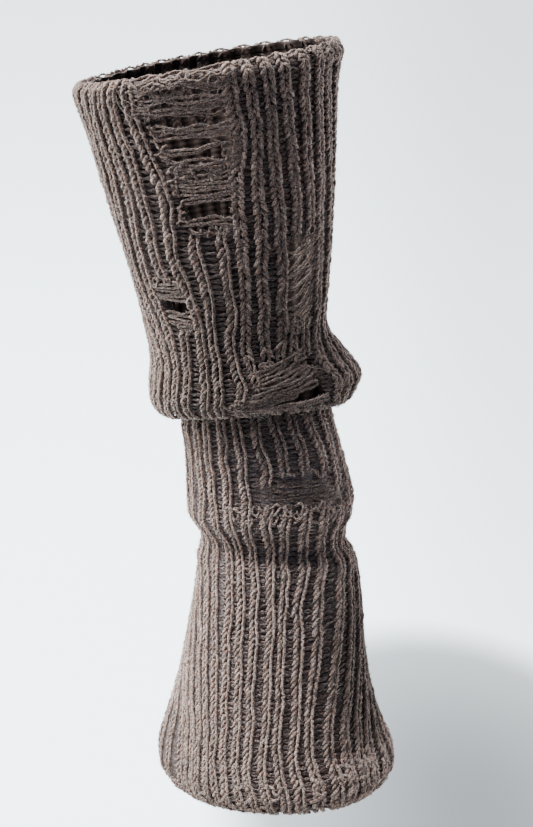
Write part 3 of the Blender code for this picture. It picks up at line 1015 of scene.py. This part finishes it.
def inner_knit(name, groove, rib):
    """The inside of the knit, seen deep in the tube: ribs and courses in colour and bump. Its
    colours are painted shade: dark grooves between the ribs, and the whole wall darker further
    down the tube.
    """
    knit = Finish(name)
    pattern = knit.node("UVMap", {}, uv_map="yarn").outputs["UV"]
    parts = knit.node("SeparateXYZ", {0: pattern}).outputs

    def wave(source, phase):
        """A wave from 0 to 1, one for each unit of its source."""
        sine = knit.math("SINE", knit.math("MULTIPLY_ADD", source, 2 * math.pi, phase))
        return knit.math("MULTIPLY_ADD", sine, 0.5, 0.5)

    ribs = wave(parts["X"], -math.pi / 2)
    both = knit.math("MULTIPLY_ADD", wave(parts["Y"], 0.0), 0.15, ribs)
    color = knit.ramp(both, (0.25, groove), (0.95, rib))
    knit.cover(color, "inner_shade", both, 1.0, 0.0012)
    return knit.material


def pale_paper(name, color, glow, shade_at, shade_reach):
    """The stage: paper that glows behind the sock, with a painted soft shadow on the floor at the
    right.
    """
    paper = Finish(name, roughness=0.9)
    place = paper.node("TexCoord", {}).outputs["Object"]
    parts = paper.node("SeparateXYZ", {0: place}).outputs

    def fade(source, start, end, at_start, at_end):
        """A soft change of a value between two places."""
        inputs = {"Value": source, "From Min": start, "From Max": end}
        inputs.update({"To Min": at_start, "To Max": at_end})
        return paper.node("MapRange", inputs, interpolation_type="SMOOTHSTEP").outputs["Result"]

    near = paper.node(
        "Mapping",
        {"Location": shade_at, "Scale": shade_reach, "Vector": place},
        vector_type="TEXTURE",
    )
    ball = paper.node("TexGradient", {"Vector": near.outputs["Vector"]}, gradient_type="SPHERICAL")
    ball = ball.outputs["Fac"]
    deep = fade(ball, 0.0, 1.0, 1.0, 0.5)
    light = paper.math("MULTIPLY", fade(ball, -0.1, 0.3, glow, 0.22 * glow), deep)
    # Painted light: the glow is weaker to the right and upwards, and none at the sides or in front
    for axis, start, end, at_start, at_end in (
        ("X", -0.05, 0.28, 1.0, 0.5),
        ("X", -0.65, -0.36, 0.0, 1.0),
        ("X", 0.36, 0.65, 1.0, 0.0),
        ("Y", 0.0, 0.09, 0.0, 1.0),
        ("Z", -0.2, 0.40, 1.0, 0.46),
    ):
        light = paper.math("MULTIPLY", light, fade(parts[axis], start, end, at_start, at_end))
    # The painted shadow also darkens the paper's own colour
    shaded = paper.math("MULTIPLY", fade(ball, -0.1, 0.3, 1.0, 0.42), deep)
    looks = {
        "Emission Strength": light,
        "Emission Color": (*color, 1),
        "Base Color": paper.scaled((0.62, 0.62, 0.60), shaded),
    }
    paper.fill(paper.shader, looks)
    return paper.material


def backdrop(paper):
    """A pale floor that sweeps up into a wall."""
    back_y, bend = 1.1, 0.5
    profile = [(-0.25, FLOOR_HEIGHT)]
    for k in range(13):
        angle = math.radians(90 * k / 12)
        y = back_y - bend + bend * math.sin(angle)
        profile.append((y, FLOOR_HEIGHT + bend - bend * math.cos(angle)))
    profile.append((back_y, 1.5))
    points = [(x, y, z) for y, z in profile for x in (-1.1, 1.1)]
    faces = [(2 * k, 2 * k + 1, 2 * k + 3, 2 * k + 2) for k in range(len(profile) - 1)]
    mesh = bpy.data.meshes.new("pale_floor")
    mesh.from_pydata(points, [], faces)
    mesh.update()
    mesh.shade_smooth()
    mesh.materials.append(paper)
    return placed("pale_floor", mesh)


def soft_light(light):
    """A square area light that points at a height on the sock's axis."""
    lamp = bpy.data.lights.new(light.name, "AREA")
    lamp.shape = "SQUARE"
    lamp.size, lamp.energy, lamp.color = light.size, light.power, light.color
    thing = placed(light.name, lamp)
    thing.location = light.place
    aim = Vector((0, 0, light.aim_height)) - Vector(light.place)
    thing.rotation_euler = aim.to_track_quat("-Z", "Y").to_euler()


def camera():
    """The photograph's view."""
    data = bpy.data.cameras.new("camera")
    data.lens = 62
    data.sensor_width = 36
    data.sensor_fit = "AUTO"
    thing = placed("camera", data)
    thing.location = (-0.003, -0.6, 0.1505)
    thing.rotation_euler = (math.radians(90 - 9.4), 0, 0)
    bpy.context.scene.camera = thing


def sky(color, strength):
    """Even light from all round."""
    world = bpy.data.worlds.new("studio")
    world.use_nodes = True
    light = world.node_tree.nodes["Background"]
    light.inputs["Color"].default_value = (*color, 1)
    light.inputs["Strength"].default_value = strength
    bpy.context.scene.world = world


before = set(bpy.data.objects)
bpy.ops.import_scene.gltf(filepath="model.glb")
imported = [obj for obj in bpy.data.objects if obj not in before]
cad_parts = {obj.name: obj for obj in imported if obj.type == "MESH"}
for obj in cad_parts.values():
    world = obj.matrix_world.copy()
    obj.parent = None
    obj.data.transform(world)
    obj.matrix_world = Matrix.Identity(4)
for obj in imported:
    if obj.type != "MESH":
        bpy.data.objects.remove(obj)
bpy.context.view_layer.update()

knit = yarn_wool("knit_wool", (0.056, 0.043, 0.043), (0.53, 0.412, 0.368), 1.0)
# Painted shade: the purl bars are the same wool as the knit, drawn darker for the channels
purl = yarn_wool("purl_wool_painted_shade", (0.040, 0.033, 0.036), (0.24, 0.195, 0.192), 0.8)
flat_grain = {"bump": 1.0, "grain": (3.0, 4.5), "share": 0.75}
# Painted shade: the ground is the same wool as the knit, drawn dark for the deep channels
dark = yarn_wool("ground_wool_painted_shade", (0.030, 0.027, 0.031), (0.17, 0.145, 0.147), **flat_grain)
pale = yarn_wool("fuzz_wool", (0.24, 0.18, 0.15), (0.55, 0.44, 0.38), 0.2)
# Painted shade: the inner stitches are the same wool as the knit, drawn darker and with less sheen
shaded_lining_wool = yarn_wool(
    "shaded_lining_wool", (0.030, 0.023, 0.023), (0.14, 0.108, 0.10), **flat_grain, sheen=0.15
)
inner = inner_knit("shaded_inner_wool", (0.026, 0.019, 0.018), (0.092, 0.068, 0.061))

ground = ground_sheet(dark, inner)
gathered = []
for name, first, last, side in (
    ("left_legs_top", 0, 40, -1),
    ("left_legs_slouch", 40, 78, -1),
    ("left_legs_middle", 78, 115, -1),
    ("left_legs_bottom", 115, COURSES, -1),
    ("right_strokes_top", 0, STROKE_COURSES, 1),
):
    legs = Yarns(name, knit)
    stroke_legs(legs, first, last, side)
    gathered.append(legs)
ropes = Yarns("right_legs", knit)
right_legs(ropes, 0, COURSES)
bars = Yarns("purl_bars", purl)
purl_bars(bars, 0, COURSES)
lining = Yarns("inner_stitches", shaded_lining_wool)
stroke_legs(lining, 0, INNER_COURSES, -1, inside=True)
right_legs(lining, 0, INNER_COURSES, inside=True)
inner_bars = Yarns("inner_purl_bars", shaded_lining_wool)
purl_bars(inner_bars, 0, INNER_COURSES, inside=True)
stubble = Yarns("nap", knit)
strands = Yarns("ladder_strands", knit)
ladder_strands(strands, stubble)
rim_ropes(strands)
loops = Yarns("slack_loops", knit)
slack_loops(loops, stubble)
hairs = Yarns("fuzz", pale)
fuzz(hairs, count=10000, reach=3.4, thick=0.056)
stray_hairs(hairs, 40)
nap(stubble, count=33000, reach=1.7, thick=0.11)
gathered += [ropes, bars, lining, inner_bars, strands, loops, hairs, stubble]
pieces = [yarns.piece() for yarns in gathered]

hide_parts("sock_upper", "sock_lower")
for piece in [ground, *pieces]:
    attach(piece, "root")

# Where the painted shadow lies on the floor, and how far it reaches
shade_at = (0.10, 0.13, FLOOR_HEIGHT)
paper = pale_paper("pale_paper", (0.74, 0.88, 1.0), 4.8, shade_at, (0.14, 0.30, 0.3))
backdrop(paper)
for light in LIGHTS:
    soft_light(light)
sky((0.87, 0.94, 1.15), 0.175)
camera()
